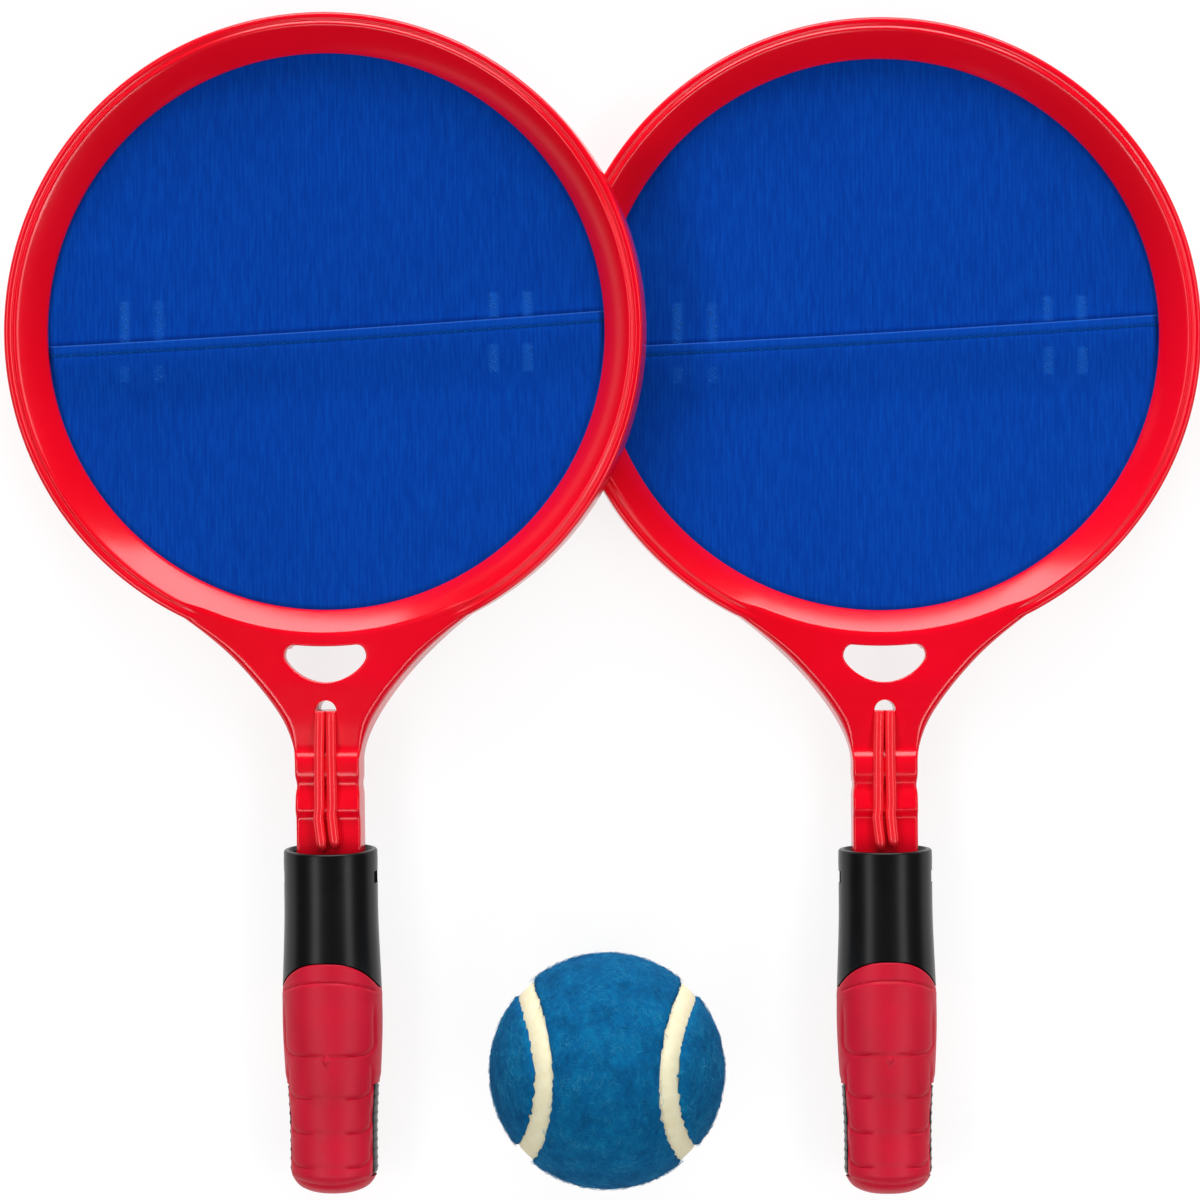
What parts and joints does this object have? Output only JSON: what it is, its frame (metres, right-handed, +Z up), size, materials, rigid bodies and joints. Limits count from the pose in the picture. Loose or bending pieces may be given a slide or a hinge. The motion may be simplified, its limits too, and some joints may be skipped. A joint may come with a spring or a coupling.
{
  "type": "hook and loop catch set",
  "caption": "Two round catching rackets with fabric faces, one head resting on the other's rim, and a felt ball that clings to the faces",
  "frame": {"origin": "middle of the bounding box on the floor that the set lies on", "axes": "+Z up out of the faces, +Y from the grips to the heads, +X to the right"},
  "size_m": [0.3176, 0.3126, 0.0616],
  "materials": {
    "frame_red": "glossy moulded",
    "rear_ring_red": "moulded",
    "face_blue": "knitted loop cloth",
    "strap_blue": "woven elastic",
    "core_black": "satin moulded",
    "cover_crimson": "soft touch",
    "seam_cream": "matt",
    "felt_teal": "brushed felt"
  },
  "bodies": {
    "root": {"left_frame": "frame_red", "left_rear_ring": "rear_ring_red", "left_upper_panel": "face_blue", "left_lower_panel": "face_blue", "left_hand_strap": "strap_blue", "left_grip_core": "core_black", "left_grip_cover": "cover_crimson", "right_frame": "frame_red", "right_rear_ring": "rear_ring_red", "right_upper_panel": "face_blue", "right_lower_panel": "face_blue", "right_hand_strap": "strap_blue", "right_grip_core": "core_black", "right_grip_cover": "cover_crimson", "ball_core": "seam_cream", "ball_felt_low": "felt_teal", "ball_felt_high": "felt_teal"}
  },
  "joints": []
}
